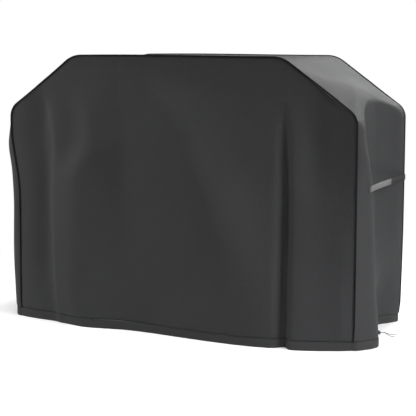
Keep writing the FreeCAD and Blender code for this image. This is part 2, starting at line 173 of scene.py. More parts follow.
# ---------------------------------------------------------------- drape of the cloth

def front_drape(x, z):
    """How far the front hangs proud of its seam plane."""
    rise = np.clip(z / SHOULDER, 0, 1)
    broad = 0.034 * (1 - np.abs(x / HALF_WIDTH) ** 8) * (1 - rise ** 2 * (3 - 2 * rise))
    tuck = 0.020 * ramp(x, 0.66, HALF_WIDTH) * np.clip(1 - z / 0.22, 0, 1) ** 2

    big_line = eased(z, [(0, 0.345), (0.23, 0.311), (0.40, 0.268), (0.54, 0.214), (0.64, 0.167),
                         (0.76, 0.108), (0.89, 0.042), (1.01, -0.044), (1.12, -0.205), (1.194, -0.32)])
    big_size = eased(z, [(0, 0.062), (0.22, 0.080), (0.50, 0.090), (0.67, 0.083), (0.76, 0.075),
                         (0.89, 0.058), (0.97, 0.042), (1.05, 0.021), (1.12, 0.007), (1.194, 0)])
    crest_round = eased(z, [(0, 0.16), (0.15, 0.15), (0.35, 0.09), (0.5, 0.05), (0.67, 0.035)])
    near = np.hypot(x - big_line, crest_round) - crest_round
    reach = np.hypot(big_line + 0.27, crest_round) - crest_round
    facet = 1 - near / reach
    facet = (facet + np.hypot(facet, 0.10)) / (1 + math.hypot(1, 0.10))
    big = big_size * np.where(x < big_line, facet, np.exp(-(near / 0.19) ** 1.25))

    left_line = eased(z, [(0, -0.41), (0.12, -0.446), (0.34, -0.455), (0.47, -0.461), (0.67, -0.452),
                          (0.83, -0.385), (0.96, -0.405), (1.09, -0.44)])
    left_size = eased(z, [(0, 0.044), (0.25, 0.050), (0.6, 0.050), (0.83, 0.036), (0.96, 0.024),
                          (1.08, 0.006), (1.15, 0)])
    left_before = eased(z, [(0.6, 0.080), (0.88, 0.055)])
    left_after = eased(z, [(0, 0.12), (0.5, 0.09), (0.9, 0.07)])
    left = left_size * bump(x, left_line, left_before, left_after)

    thin_line = eased(z, [(0, -0.57), (0.4, -0.605), (0.6, -0.614), (0.7, -0.60), (0.82, -0.586),
                          (1.04, -0.64)])
    thin_size = eased(z, [(0, 0.012), (0.8, 0.012), (1.0, 0.005), (1.1, 0)])
    thin = thin_size * bump(x, thin_line, 0.018, 0.09)

    groove_line = eased(z, [(0, 0.541), (0.2, 0.538), (0.41, 0.532), (0.61, 0.524), (0.82, 0.512),
                            (1.02, 0.510)])
    groove_size = eased(z, [(0, 0.030), (0.6, 0.028), (0.82, 0.018), (0.95, 0.007), (1.02, 0)])
    groove = groove_size * bump(x, groove_line, 0.018, 0.014)
    beside_size = eased(z, [(0, 0.014), (0.4, 0.016), (0.8, 0.010), (1.0, 0)])
    beside = beside_size * bump(x, groove_line + 0.05, 0.022, 0.06)

    hollow = 0.030 * bump(x, 0.655, 0.06, 0.08) * bump(z, 0.82, 0.15)
    hollow = hollow + 0.016 * bump(x, -0.665, 0.05, 0.035) * ramp(z, 0.05, 0.30) * ramp(z, 1.08, 0.95)
    seam_fade = np.clip((HALF_WIDTH - np.abs(x)) / 0.05, 0, 1)
    folds = big + left + thin + beside - groove - hollow
    return broad - tuck + folds * seam_fade


def ridge_line(climb):
    """Where the ridge behind the front corner runs across the side."""
    return eased(climb, [(-0.96, -0.193), (-0.63, -0.205), (-0.46, -0.200), (-0.29, -0.207), (-0.20, -0.258),
                         (-0.10, -0.292), (-0.02, -0.292), (0.03, -0.240), (0.06, -0.185), (0.10, -0.110),
                         (0.16, 0)])


def side_swell(side, y, z, climb):
    """How far a side stands out from the outline; climb is the way up the shoulder from its corner."""
    ridge_size = eased(climb, [(-0.96, 0.063), (-0.63, 0.042), (-0.46, 0.031), (-0.30, 0.0210),
                               (-0.27, 0.0215), (-0.18, 0.027), (-0.10, 0.0180), (-0.02, 0.0145),
                               (0.03, 0.012), (0.08, 0.009), (0.16, 0)])
    ridge_before = eased(z, [(0, 0.07), (0.65, 0.075), (0.95, 0.045)])
    ridge = ridge_size * bump(y, ridge_line(climb), ridge_before, 0.056)
    low_size = eased(z, [(0, 0.077), (0.33, 0.052), (0.65, 0.034)]) * ramp(z, 0.55, 0.10)
    low_recess = low_size * bump(y, eased(z, [(0, 0.17), (0.33, 0.10), (0.65, -0.01)]), 0.09)

    crease_line = eased(y, [(-0.32, 0.20), (-0.24, 0.185), (-0.05, 0.155), (0.166, 0.125), (0.257, 0.09),
                            (0.31, 0.03)])
    crease_size = eased(y, [(-0.32, 0), (-0.20, 0.014), (-0.04, 0.023), (0.15, 0.013), (0.30, 0.002)])
    crease = crease_size * bump(climb, crease_line, 0.11, 0.055)
    corner_sag = np.clip(1 - climb / 0.33 - (y + HALF_DEPTH) / 0.57, 0, 1) * ramp(climb, -0.06, 0.02)

    left_roll = 0.022 * bump(y, -0.283, 0.035) * ramp(z, 0.98, 0.80) * ramp(z, -0.10, 0.35) * (side < 0)
    edge = 1 - np.clip(np.abs(y) / HALF_DEPTH, 0, 1) ** (8 + 22 * ramp(z, 0.5, 0.85))
    swell = edge * (ridge - low_recess + crease + left_roll - 0.022 * corner_sag)
    straight = -RUN_INSET - RUN_SLANT * (y - CORD_EXIT)
    near_cord = ramp(np.abs(y - CORD_EXIT), 0.060, 0.012) * ramp(z, 0.35, 0.05)
    return swell + (straight - swell) * near_cord


def recess_cut(x, y, z, climb):
    """How far the wall behind the ridge is drawn in, straight down from its arch under the shoulder."""
    rounding = 0.014
    behind = ramp(y, ridge_line(climb), ridge_line(climb) + 0.16)
    back = 1 - np.clip((y - 0.05) / 0.27, 0, 1) ** 1.6
    depth = eased(z, [(0.3, 0.050), (0.6, 0.042), (0.8, 0.045), (0.95, 0.050), (1.02, 0.053)])
    wall = HALF_WIDTH + 0.045 * (1 - behind) + 0.03 * (1 - back) - depth * behind * back
    overlap = np.clip(rounding - np.abs(x - wall), 0, None)
    cut = x - np.minimum(x, wall) + overlap ** 2 / (4 * rounding)
    return cut * ramp(z, 0.10, 0.55) * (1 - np.clip(np.abs(y) / HALF_DEPTH, 0, 1) ** 8)


def seam_shift(side, end, z):
    """How far the corner seam of one side and end lies inside the outline, and behind its seam plane."""
    if end < 0 and side < 0:
        return 0.033 * ramp(z, 0.86, 0.56) - 0.006 * bump(z, 0.88, 0.08), -0.006 * ramp(z, 0.5, 0)
    if end < 0 or side < 0:
        low = np.clip(1 - z / 0.22, 0, 1) ** 2
        return 0.009 * low, 0.020 * low
    return 0.009 * np.clip(1 - z / 0.6, 0, 1) ** 2, 0 * z


def crown(x, z):
    """Slight rise of the top, fuller on the left."""
    return 0.005 * ramp(z, 1.10, TOP) * bump(x, -0.22, 0.30)


def panel_points(end, u, half_width, z):
    """Points of the front (end -1) or back (end 1) panel; u runs from -1 on the left to 1."""
    x = u * half_width
    out = HALF_DEPTH + front_drape(-end * x, z)
    for side in (-1, 1):
        inward, back = seam_shift(side, end, z)
        weight = np.clip(0.5 + side * u / 2, 0, 1) ** 3
        x = x - side * inward * weight
        if end < 0 and side < 0 or end > 0 and side > 0:
            out = out - back * weight
    return np.stack([x, end * out, z + crown(x, z)], axis=-1)


def strip_points(side, outline, y):
    """Points of one half of the strip, for outline rows and places across it."""
    x, z, normal_x, normal_z, climb = (outline[:, i][:, None] for i in range(5))
    y = y[None, :] + 0 * x
    flat_sag = 0.004 * (1 - (y / HALF_DEPTH) ** 2) * ramp(climb, 0.05, 0.2)
    out = side_swell(side, y, z, climb) - flat_sag
    px, py, pz = x + normal_x * out, y, z + normal_z * out
    px = px - recess_cut(px, y, z, climb)
    for end in (-1, 1):
        inward, back = seam_shift(side, end, z)
        reach = np.clip(1 - (HALF_DEPTH - end * y) / 0.06, 0, 1)
        px = px - inward * reach ** 2
        py = py - end * back * reach ** 2
        py = py + end * 0.8 * inward * np.sin(math.pi * reach) * reach
    return np.stack([side * px, py, pz + crown(side * px, z)], axis=-1)


# ---------------------------------------------------------------- mesh makers

def new_mesh(name, verts, faces, uvs=None):
    """Smooth mesh piece, with one texture place for each vertex if given."""
    mesh = bpy.data.meshes.new(name)
    mesh.from_pydata([tuple(v) for v in verts], [], [tuple(int(i) for i in f) for f in faces])
    mesh.validate()
    if uvs is not None:
        layer = mesh.uv_layers.new(name="cloth")
        loops = np.empty(len(mesh.loops), int)
        mesh.loops.foreach_get("vertex_index", loops)
        layer.data.foreach_set("uv", np.asarray(uvs, float)[loops].ravel())
    mesh.polygons.foreach_set("use_smooth", [True] * len(mesh.polygons))
    piece = bpy.data.objects.new(name, mesh)
    bpy.context.scene.collection.objects.link(piece)
    return piece


def grid_mesh(name, points, flip):
    """Sheet through a grid of points, with its cloth coordinates in metres."""
    rows, columns = points.shape[:2]
    index = np.arange(rows * columns).reshape(rows, columns)
    quads = np.stack([index[:-1, :-1], index[:-1, 1:], index[1:, 1:], index[1:, :-1]], -1).reshape(-1, 4)
    middle = points[:, columns // 2]
    down = np.concatenate([[0], np.cumsum(np.linalg.norm(np.diff(middle, axis=0), axis=1))])
    widths = np.linalg.norm(np.diff(points, axis=1), axis=2)
    across = np.concatenate([np.zeros((rows, 1)), np.cumsum(widths, axis=1)], axis=1)
    across -= across[:, columns // 2][:, None]
    uvs = np.stack([across, np.repeat(down[:, None], columns, 1)], -1).reshape(-1, 2)
    return new_mesh(name, points.reshape(-1, 3), quads[:, ::-1] if flip else quads, uvs)


def thicken(piece, thickness):
    """Real thickness, on the inner side."""
    shell = piece.modifiers.new("thickness", "SOLIDIFY")
    shell.thickness = thickness
    shell.offset = -1
    shell.use_even_offset = False


def sweep(name, path, out, section, closed=False):
    """Section of (across, out) pairs carried along a path; across is the path's heading times out."""
    path, out = np.asarray(path, float), np.asarray(out, float)
    if closed:
        heading = np.roll(path, -1, axis=0) - np.roll(path, 1, axis=0)
    else:
        heading = np.gradient(path, axis=0)
    heading /= np.linalg.norm(heading, axis=1)[:, None]
    out = out - heading * np.sum(out * heading, axis=1)[:, None]
    out /= np.linalg.norm(out, axis=1)[:, None]
    across = np.cross(heading, out)
    section = np.asarray(section, float)
    points = path[:, None] + across[:, None] * section[None, :, :1] + out[:, None] * section[None, :, 1:]
    rows, ring = points.shape[:2]
    index = np.arange(rows * ring).reshape(rows, ring)
    following = np.roll(index, -1, axis=0) if closed else index[1:]
    start = index if closed else index[:-1]
    quads = np.stack([start, np.roll(start, -1, 1), np.roll(following, -1, 1), following], -1).reshape(-1, 4)
    faces = quads.tolist()
    if not closed:
        faces += [index[0][::-1].tolist(), index[-1].tolist()]
    length = np.concatenate([[0], np.cumsum(np.linalg.norm(np.diff(path, axis=0), axis=1))])
    round_length = np.concatenate([[0], np.cumsum(np.linalg.norm(np.diff(section, axis=0), axis=1))])
    uvs = np.stack(np.meshgrid(round_length, length), -1).reshape(-1, 2)
    return new_mesh(name, points.reshape(-1, 3), faces, uvs)


def ring_section(radius, count=12):
    """Round section for a sweep."""
    angles = [2 * math.pi * i / count for i in range(count)]
    return [(radius * math.sin(a), radius * math.cos(a)) for a in angles]


def even_spaced(path, others, step, closed=False):
    """The path at even steps, and values carried with it."""
    path = np.asarray(path, float)
    rows = np.concatenate([path, path[:1]]) if closed else path
    length = np.concatenate([[0], np.cumsum(np.linalg.norm(np.diff(rows, axis=0), axis=1))])
    count = int(length[-1] / step)
    at = np.linspace(0, length[-1], count + 1)[: count if closed else None]

    def sampled(values):
        values = np.asarray(values, float)
        values = np.concatenate([values, values[:1]]) if closed else values
        return np.stack([np.interp(at, length, values[:, k]) for k in range(values.shape[1])], -1)
    return sampled(path), [sampled(values) for values in others]


def stitches(name, path, out, pitch, length, radius):
    """Row of thread stitches lying on a surface."""
    path, (out,) = even_spaced(path, [out], pitch)
    verts, faces = [], []
    stations = [(-0.5, 0.35), (-0.3, 1), (0.3, 1), (0.5, 0.35)]
    for here, there, normal in zip(path[:-1], path[1:], out[:-1]):
        heading = Vector(there - here).normalized()
        normal = Vector(normal).normalized()
        across = heading.cross(normal)
        base = len(verts)
        for along, size in stations:
            centre = Vector(here) + heading * along * length
            for k in range(6):
                angle = math.pi * k / 3
                verts.append(centre + (across * math.cos(angle) + normal * math.sin(angle)) * radius * size)
        for ring in range(len(stations) - 1):
            for k in range(6):
                low, high = base + ring * 6, base + ring * 6 + 6
                faces.append((low + k, low + (k + 1) % 6, high + (k + 1) % 6, high + k))
        faces.append(tuple(base + k for k in reversed(range(6))))
        faces.append(tuple(base + 18 + k for k in range(6)))
    return new_mesh(name, verts, faces)


# ---------------------------------------------------------------- materials

def shader_nodes(name, **settings):
    """Material with its nodes and shader; settings are set on the shader's own sockets."""
    material = bpy.data.materials.new(name)
    material.use_nodes = True
    nodes, links = material.node_tree.nodes, material.node_tree.links
    shader = nodes["Principled BSDF"]
    for socket, value in settings.items():
        shader.inputs[socket.replace("_", " ")].default_value = value
    return material, nodes, links, shader


def mapped(nodes, links, source, size):
    """Cloth (UV) or Object coordinates, stretched by sizes in metres."""
    coordinates = nodes.new("ShaderNodeTexCoord")
    mapping = nodes.new("ShaderNodeMapping")
    mapping.inputs["Scale"].default_value = [1 / s for s in size]
    links.new(coordinates.outputs[source], mapping.inputs["Vector"])
    return mapping.outputs["Vector"]


def waves(nodes, links, vector, direction):
    """Even threads, one for each unit of the vector."""
    wave = nodes.new("ShaderNodeTexWave")
    wave.bands_direction = direction
    wave.inputs["Scale"].default_value = math.pi / 10
    wave.inputs["Distortion"].default_value = 0
    links.new(vector, wave.inputs["Vector"])
    return wave.outputs["Fac"]


def maths(nodes, links, operation, first, second):
    """One sum; each side is a number or a socket."""
    node = nodes.new("ShaderNodeMath")
    node.operation = operation
    for socket, value in zip(node.inputs, (first, second)):
        if isinstance(value, (int, float)):
            socket.default_value = value
        else:
            links.new(value, socket)
    return node.outputs["Value"]


def blotches(nodes, links, size, detail=4):
    """Soft noise, with its size in metres along each axis."""
    cloud = nodes.new("ShaderNodeTexNoise")
    cloud.inputs["Scale"].default_value = 1
    cloud.inputs["Detail"].default_value = detail
    links.new(mapped(nodes, links, "Object", size), cloud.inputs["Vector"])
    return cloud.outputs["Fac"]


def ramped(nodes, links, factor, dark, light, low=0.3, high=0.7):
    """Colour between two shades."""
    blend = nodes.new("ShaderNodeValToRGB")
    blend.color_ramp.elements[0].position = low
    blend.color_ramp.elements[0].color = (*dark, 1)
    blend.color_ramp.elements[1].position = high
    blend.color_ramp.elements[1].color = (*light, 1)
    links.new(factor, blend.inputs["Fac"])
    return blend.outputs["Color"]


def bumped(nodes, links, shader, layers):
    """Chain of bumps of (height, depth in metres, strength)."""
    last = None
    for height, depth, strength in layers:
        node = nodes.new("ShaderNodeBump")
        node.inputs["Distance"].default_value = depth
        node.inputs["Strength"].default_value = strength
        links.new(height, node.inputs["Height"])
        if last:
            links.new(last, node.inputs["Normal"])
        last = node.outputs["Normal"]
    links.new(last, shader.inputs["Normal"])


def ranged(nodes, links, factor, low, high):
    """Factor from 0 to 1 turned into a range."""
    node = nodes.new("ShaderNodeMapRange")
    node.inputs["To Min"].default_value = low
    node.inputs["To Max"].default_value = high
    links.new(factor, node.inputs["Value"])
    return node.outputs["Result"]


def woven(name, dark, light, thread, check, rough, sheen):
    """Plain woven cloth with a faint square check and soft blotches."""
    material, nodes, links, shader = shader_nodes(
        name, Sheen_Weight=sheen, Sheen_Roughness=0.45, Specular_IOR_Level=0.22
    )
    fine = mapped(nodes, links, "UV", (thread, thread, 1))
    weave = maths(nodes, links, "MULTIPLY", waves(nodes, links, fine, "X"), waves(nodes, links, fine, "Y"))
    coarse = mapped(nodes, links, "UV", (check, check, 1))
    lines = maths(
        nodes, links, "MAXIMUM",
        maths(nodes, links, "POWER", waves(nodes, links, coarse, "X"), 6),
        maths(nodes, links, "POWER", waves(nodes, links, coarse, "Y"), 6),
    )
    cloudy = blotches(nodes, links, (0.22, 0.22, 0.30))
    speckle = blotches(nodes, links, (0.004, 0.004, 0.004), 2)
    shade = maths(nodes, links, "MULTIPLY", lines, 0.30)
    shade = maths(nodes, links, "ADD", shade, maths(nodes, links, "MULTIPLY", cloudy, 0.55))
    shade = maths(nodes, links, "ADD", shade, maths(nodes, links, "MULTIPLY", speckle, 0.25))
    links.new(ramped(nodes, links, shade, dark, light, 0.2, 0.8), shader.inputs["Base Color"])
    links.new(ranged(nodes, links, cloudy, rough - 0.06, rough + 0.06), shader.inputs["Roughness"])
    bumped(nodes, links, shader, [(weave, 0.0004, 0.6), (lines, 0.0004, 0.5), (cloudy, 0.002, 0.15)])
    return material


def webbing(name, dark, light, rough, sheen=0.05):
    """Ribbed webbing: fine ribs across, coarser ones along."""
    material, nodes, links, shader = shader_nodes(name, Sheen_Weight=sheen, Specular_IOR_Level=0.2)
    fine = mapped(nodes, links, "UV", (0.0013, 0.0011, 1))
    ribs = maths(nodes, links, "MULTIPLY", waves(nodes, links, fine, "X"), waves(nodes, links, fine, "Y"))
    worn = blotches(nodes, links, (0.02, 0.02, 0.02))
    shade = maths(nodes, links, "ADD", maths(nodes, links, "MULTIPLY", ribs, 0.4),
                  maths(nodes, links, "MULTIPLY", worn, 0.6))
    links.new(ramped(nodes, links, shade, dark, light, 0.2, 0.8), shader.inputs["Base Color"])
    links.new(ranged(nodes, links, worn, rough - 0.05, rough + 0.08), shader.inputs["Roughness"])
    bumped(nodes, links, shader, [(ribs, 0.0003, 0.8)])
    return material


def pile(name, dark, light, scale):
    """Hooks or loops standing in rows."""
    material, nodes, links, shader = shader_nodes(name, Sheen_Weight=0.4, Specular_IOR_Level=0.2)
    cells = nodes.new("ShaderNodeTexVoronoi")
    cells.inputs["Scale"].default_value = 1
    links.new(mapped(nodes, links, "Object", (scale, scale, scale)), cells.inputs["Vector"])
    height = cells.outputs["Distance"]
    links.new(ramped(nodes, links, height, light, dark, 0.1, 0.6), shader.inputs["Base Color"])
    links.new(ranged(nodes, links, height, 0.6, 0.9), shader.inputs["Roughness"])
    bumped(nodes, links, shader, [(height, 0.0006, 0.9)])
    return material


def hard(name, dark, light, rough, grain, depth, metallic=0.0):
    """Moulded plastic or metal with fine grain and worn patches."""
    material, nodes, links, shader = shader_nodes(name, Metallic=metallic)
    fine = blotches(nodes, links, (grain, grain, grain), 3)
    worn = blotches(nodes, links, (0.006, 0.006, 0.006), 3)
    links.new(ramped(nodes, links, worn, dark, light, 0.35, 0.75), shader.inputs["Base Color"])
    links.new(ranged(nodes, links, worn, rough - 0.08, rough + 0.12), shader.inputs["Roughness"])
    bumped(nodes, links, shader, [(fine, depth, 0.6)])
    return material


def braided(name, dark, light):
    """Braided cord: two crossing sets of strands."""
    material, nodes, links, shader = shader_nodes(name, Sheen_Weight=0.3, Specular_IOR_Level=0.3)
    turned = nodes.new("ShaderNodeMapping")
    turned.inputs["Rotation"].default_value = (0.6, 0.5, 0.8)
    links.new(mapped(nodes, links, "Object", (0.0011, 0.0011, 0.0011)), turned.inputs["Vector"])
    places = turned.outputs["Vector"]
    strands = maths(
        nodes, links, "MULTIPLY", waves(nodes, links, places, "X"), waves(nodes, links, places, "Y")
    )
    links.new(ramped(nodes, links, strands, dark, light, 0.1, 0.7), shader.inputs["Base Color"])
    links.new(ranged(nodes, links, strands, 0.6, 0.8), shader.inputs["Roughness"])
    bumped(nodes, links, shader, [(strands, 0.0003, 0.9)])
    return material


CLOTH_DARK, CLOTH_LIGHT = (0.026, 0.0265, 0.028), (0.040, 0.0405, 0.042)
HEM_DARK, HEM_LIGHT = (0.030, 0.0305, 0.032), (0.044, 0.0445, 0.046)
# Spacing of the cloth's threads, and of its faint square check.
THREAD, CHECK = 0.0016, 0.0095
MATERIALS = {
    "cover_cloth": woven("cover_cloth", CLOTH_DARK, CLOTH_LIGHT, THREAD, CHECK, 0.70, 0.06),
    "hem_cloth": woven("hem_cloth", HEM_DARK, HEM_LIGHT, THREAD, CHECK, 0.72, 0.06),
    "piping": webbing("piping", (0.004, 0.004, 0.0042), (0.008, 0.008, 0.0083), 0.7, 0.0),
    "seam_tape": webbing("seam_tape", (0.012, 0.012, 0.013), (0.022, 0.022, 0.023), 0.8),
    "cord": braided("cord", (0.05, 0.05, 0.05), (0.16, 0.16, 0.16)),
    "eyelet_metal": hard("eyelet_metal", (0.55, 0.55, 0.56), (0.75, 0.75, 0.76), 0.28, 0.0008, 0.0001, 1.0),
    "lock_plastic": hard("lock_plastic", (0.012, 0.012, 0.013), (0.022, 0.022, 0.024), 0.42, 0.0006, 0.0001),
    "spring_steel": hard("spring_steel", (0.45, 0.45, 0.46), (0.65, 0.65, 0.66), 0.3, 0.0008, 0.0001, 1.0),
    "strap_light": webbing("strap_light", (0.13, 0.13, 0.132), (0.24, 0.24, 0.243), 0.75),
    # Darker copy of the light webbing that paints shade: the anchor tab is the same light strap, lying in
    # shade on the ridge's front side.
    "strap_painted_shade": webbing("strap_painted_shade", (0.062, 0.062, 0.063), (0.115, 0.115, 0.117), 0.75),
    "strap_dark": webbing("strap_dark", (0.020, 0.020, 0.021), (0.036, 0.036, 0.037), 0.75),
    "hook_pile": pile("hook_pile", (0.02, 0.02, 0.021), (0.05, 0.05, 0.052), 0.0012),
    "loop_pile": pile("loop_pile", (0.02, 0.02, 0.021), (0.06, 0.06, 0.062), 0.0009),
    "strap_thread": webbing("strap_thread", (0.16, 0.16, 0.162), (0.26, 0.26, 0.263), 0.7),
    "thread": webbing("thread", (0.030, 0.030, 0.031), (0.052, 0.052, 0.053), 0.7),
}


def finish_piece(piece, material, body, replaced=()):
    """Material, body, and CAD nodes stood for."""
    piece.data.materials.clear()
    piece.data.materials.append(MATERIALS[material])
    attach(piece, body)
    if replaced:
        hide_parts(*replaced)


# ---------------------------------------------------------------- cover cloth

half = half_outline(ROW_STEP)
shoulder_row = np.argmin(np.abs(half[:, 1] - SHOULDER) + np.abs(half[:, 0] - HALF_WIDTH) * 0.5)
run = np.concatenate([[0], np.cumsum(np.linalg.norm(np.diff(half[:, :2], axis=0), axis=1))])
half = np.column_stack([half, run - run[shoulder_row]])

# The cloth ends just under the band's top edge.
hem_line = HEM_HEIGHT - 0.0003
wall_rows = half[half[:, 1] > hem_line + 0.004]
foot_row = wall_rows[:1].copy()
foot_row[0, 1], foot_row[0, 4] = hem_line, wall_rows[0, 4] - (wall_rows[0, 1] - hem_line)
sheet_rows = np.concatenate([foot_row, wall_rows])


def crowded_ends(count):
    """Places from -1 to 1, closer together at both ends."""
    inner = np.linspace(-1, 1, count)
    ends = 1 - np.array([0.0012, 0.003, 0.006])
    return np.unique(np.concatenate([inner, ends, -ends]))


def hem_pull(z):
    """How far the cloth is pulled in by the stitching on the hem."""
    return 0.0032 * np.exp(-((z - hem_line) / 0.006) ** 2)


def make_panel(label, end):
    """Front (end -1) or back (end 1) panel, rippled, rolled in at its seam and pulled in at the hem."""
    rows = sheet_rows[sheet_rows[:, 0] > HALF_TOP - TOP_ROUND * math.tan(SLOPE / 2) - 1e-6]
    u = crowded_ends(PANEL_COLUMNS)
    points = panel_points(end, u[None, :], rows[:, :1], rows[:, 1:2])
    flat = points.reshape(-1, 3)
    ripple = 0.0012 * wrinkle(flat, 0.14, 2 + end) + 0.0005 * wrinkle(flat, 0.045, 5 + end)
    ripple = ripple.reshape(points.shape[:2])
    seam_gap = np.minimum((1 - np.abs(u))[None, :] * rows[:, :1], TOP - rows[:, 1:2] + 0 * u[None, :])
    quiet = np.clip(seam_gap / 0.05, 0, 1)
    roll = 0.0016 * np.exp(-(seam_gap / 0.004) ** 2)
    points[:, :, 1] += end * (ripple * quiet - roll - hem_pull(rows[:, 1:2]))
    return grid_mesh(label, points, flip=end > 0)


front = make_panel("cloth_front", -1)
back = make_panel("cloth_back", 1)

strip_across = (HALF_DEPTH - SEAM_GAP) * crowded_ends(STRIP_COLUMNS)
left_half = strip_points(-1, sheet_rows, strip_across)
right_half = strip_points(1, sheet_rows, strip_across)
strip_grid = np.concatenate([left_half, right_half[::-1][1:]])
flat = strip_grid.reshape(-1, 3)
ripple = (0.0012 * wrinkle(flat, 0.13, 8) + 0.0005 * wrinkle(flat, 0.04, 9)).reshape(strip_grid.shape[:2])
# The ripple dies down under the straps' sewn ends, which lie flat.
near_anchor = bump(strip_across, -0.21, 0.04)[None, :] * bump(strip_grid[:, :, 2], STRAP_LEVEL, 0.04)
ripple *= (1 - (strip_across / HALF_DEPTH) ** 4)[None, :] * (1 - near_anchor)
normals = np.concatenate([
    np.stack([-sheet_rows[:, 2], 0 * sheet_rows[:, 2], sheet_rows[:, 3]], -1),
    np.stack([sheet_rows[:, 2], 0 * sheet_rows[:, 2], sheet_rows[:, 3]], -1)[::-1][1:],
])
pull = hem_pull(strip_grid[:, :, 2]) * (np.abs(normals[:, :1]) > 0.99)
strip_grid = strip_grid + normals[:, None, :] * (ripple - pull)[:, :, None]
strip = grid_mesh("cloth_strip", strip_grid, flip=False)

for piece, node in ((front, "front_panel"), (back, "back_panel"), (strip, "side_top_strip")):
    thicken(piece, CLOTH)
    finish_piece(piece, "cover_cloth", "cover", [node])

# ---------------------------------------------------------------- seams

full_rows = np.concatenate([sheet_rows * (-1, 1, -1, 1, 1), sheet_rows[::-1][1:]])


def seam_line(end, inset=0.0):
    """Points along a seam, set in from the outline, on the panel's outer face."""
    x, z = full_rows[:, 0] - full_rows[:, 2] * inset, full_rows[:, 1] - full_rows[:, 3] * inset
    out = HALF_DEPTH + front_drape(-end * x, z)
    for side in (-1, 1):
        here = np.sign(full_rows[:, 0]) == side
        inward, behind = seam_shift(side, end, z)
        x = np.where(here, x - side * inward, x)
        out = np.where(here & (side == end), out - behind, out)
    return np.stack([x, end * out, z + crown(x, z)], -1)


PIPING_RADIUS = 0.0031
TAPE_SECTION = [(-0.0005, -0.006), (-0.0005, 0.006), (0.0005, 0.006), (0.0005, -0.006)]
outward = np.stack([full_rows[:, 2], 0 * full_rows[:, 2], full_rows[:, 3]], -1)
for end, name in ((-1, "front"), (1, "back")):
    seam = seam_line(end)
    # The piping stands out of the seam, and sinks in where it meets the hem.
    free = ramp(seam[:, 2:], 0.035, 0.10)
    centre = seam + (outward * 0.0020 + np.array([0, end * 0.0014, 0])) * free - outward * 0.0020 * (1 - free)
    path, (out,) = even_spaced(centre, [outward], 0.006)
    piping = sweep(f"{name}_piping_cord", path, out, ring_section(PIPING_RADIUS))
    finish_piece(piping, "piping", "cover", [f"{name}_piping"])

    inner = seam_line(end, 0.012) - np.array([0, end * (CLOTH + 0.0012), 0])
    path, (out,) = even_spaced(inner, [outward], 0.010)
    tape = sweep(f"{name}_tape", path, out, TAPE_SECTION)
    finish_piece(tape, "seam_tape", "cover", [f"{name}_seam_tape"])

# ---------------------------------------------------------------- hem

ground_row = np.array([[HALF_WIDTH, 0.0, 1.0, 0.0, -SHOULDER]])
ends = np.linspace(-1, 1, 240)
sides = (HALF_DEPTH - SEAM_GAP) * np.linspace(-1, 1, 90)
level = np.zeros((1, 1))
ring = np.concatenate([
    panel_points(-1, ends[None, :], level + HALF_WIDTH, level)[0],
    strip_points(1, ground_row, sides)[0],
    panel_points(1, -ends[None, :], level + HALF_WIDTH, level)[0],
    strip_points(-1, ground_row, -sides)[0],
])
ring, _ = even_spaced(ring, [], 0.006, closed=True)
heading = np.roll(ring, -1, axis=0) - np.roll(ring, 1, axis=0)
hem_out = np.stack([heading[:, 1], -heading[:, 0], 0 * heading[:, 0]], -1)
hem_out /= np.linalg.norm(hem_out, axis=1)[:, None]

# Heights and insets of the band, folded round the drawstring: down the face from the groove under its
# stitches, up the inside, then round the channel.
HEM_STITCH_HEIGHT = 0.0352
HEM_SECTION = [
    (0.0395, -0.0036), (0.0392, -0.0032), (0.0382, -0.0010), (0.0368, -0.0002), (HEM_STITCH_HEIGHT, -0.0010),
    (0.0336, -0.0002), (0.028, 0.0), (0.006, 0.0), (0.0025, -0.0003), (0.0008, -0.0010), (0.0, -0.0024),
    (0.0008, -0.0046), (0.003, -HEM_GAUGE), (0.037, -HEM_GAUGE), (0.0395, -0.0046), (0.0395, -0.0038),
    (0.031, -0.0036), (0.028, -0.0042), (0.006, -0.0042), (0.0022, -0.0038), (0.0016, -0.0028),
    (0.0022, -0.0018), (0.006, -0.0014), (0.028, -0.0014), (0.031, -0.0034),
]
hem = sweep("hem_cloth_band", ring, hem_out, [(-z, out) for z, out in HEM_SECTION], closed=True)
finish_piece(hem, "hem_cloth", "cover", ["hem_band"])

seam_path = ring + hem_out * -0.0008 + np.array([0, 0, HEM_STITCH_HEIGHT])
hem_thread = stitches("hem_stitches", seam_path, hem_out, 0.0055, 0.0038, 0.00045)
finish_piece(hem_thread, "thread", "cover")

# The drawstring runs round the channel and both its ends leave through the eyelet.
channel = ring + hem_out * -HEM_GAUGE / 2 + np.array([0, 0, CORD_HEIGHT])
channel, _ = even_spaced(channel, [], 0.008, closed=True)
first = np.argmin(np.linalg.norm(channel - np.array(cord_place(0, 0, CORD_HEIGHT)), axis=1))
leaving = [
    (CORD_FREE, CORD_LANE), (0.020, CORD_LANE), (0.006, CORD_LANE), (0.001, CORD_LANE),
    (-0.0012, 0.0024), (-0.0024, 0.0046), (-0.0028, 0.0085),
]
drawstring_path = np.concatenate([
    [cord_place(out, along, CORD_HEIGHT) for out, along in leaving],
    np.roll(channel, -first - 2, axis=0)[:-3],
    [cord_place(out, -along, CORD_HEIGHT) for out, along in reversed(leaving)],
])
upward = np.tile([0.0, 0.0, 1.0], (len(drawstring_path), 1))
drawstring = sweep("drawstring_in_hem", drawstring_path, upward, ring_section(CORD_SIZE / 2))
finish_piece(drawstring, "cord", "cover", ["hem_drawstring"])

# ---------------------------------------------------------------- free cord ends

for name, route in CORD_ENDS.items():
    places = [cord_place(*point) for point in route]
    cord = cord_curve(f"{name}_cord", places)
    finish_piece(cord, "cord", "cover", [name])

# ---------------------------------------------------------------- side straps

STRAP_WIDTH, STRAP_GAUGE = 0.025, 0.0015
TAPE_WIDTH, PILE_GAUGE = 0.022, 0.0012
# Gap from the anchor to the tongue, and under the tongue's tapes.
STRAP_GAP = 0.0003
